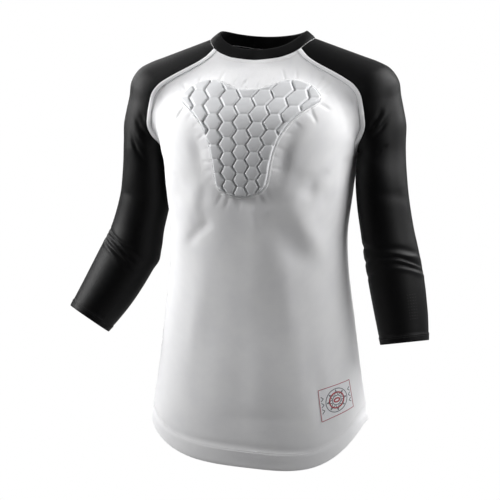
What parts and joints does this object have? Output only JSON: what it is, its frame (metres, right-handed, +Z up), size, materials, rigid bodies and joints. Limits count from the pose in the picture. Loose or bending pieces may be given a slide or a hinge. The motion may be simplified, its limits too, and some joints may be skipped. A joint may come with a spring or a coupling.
{
  "type": "compression_shirt",
  "caption": "Three-quarter sleeve compression shirt, white body and black raglan sleeves, with a bonded hexagon-cell chest pad, in its worn shape",
  "frame": {"origin": "mount wearer_shoulders: between the shoulders, level with the highest points of the collar", "axes": "+Z up, front towards -Y, +X to the wearer's left"},
  "size_m": [0.5961, 0.2054, 0.6833],
  "materials": {
    "white_knit": "smooth stretch knit",
    "black_knit": "matt stretch knit",
    "pad_grey": "satin film over foam"
  },
  "bodies": {
    "root": {"front_panel": "white_knit", "back_panel": "white_knit", "sleeve_left": "black_knit", "sleeve_right": "black_knit", "collar_band": "black_knit", "chest_pad": "pad_grey"}
  },
  "joints": []
}
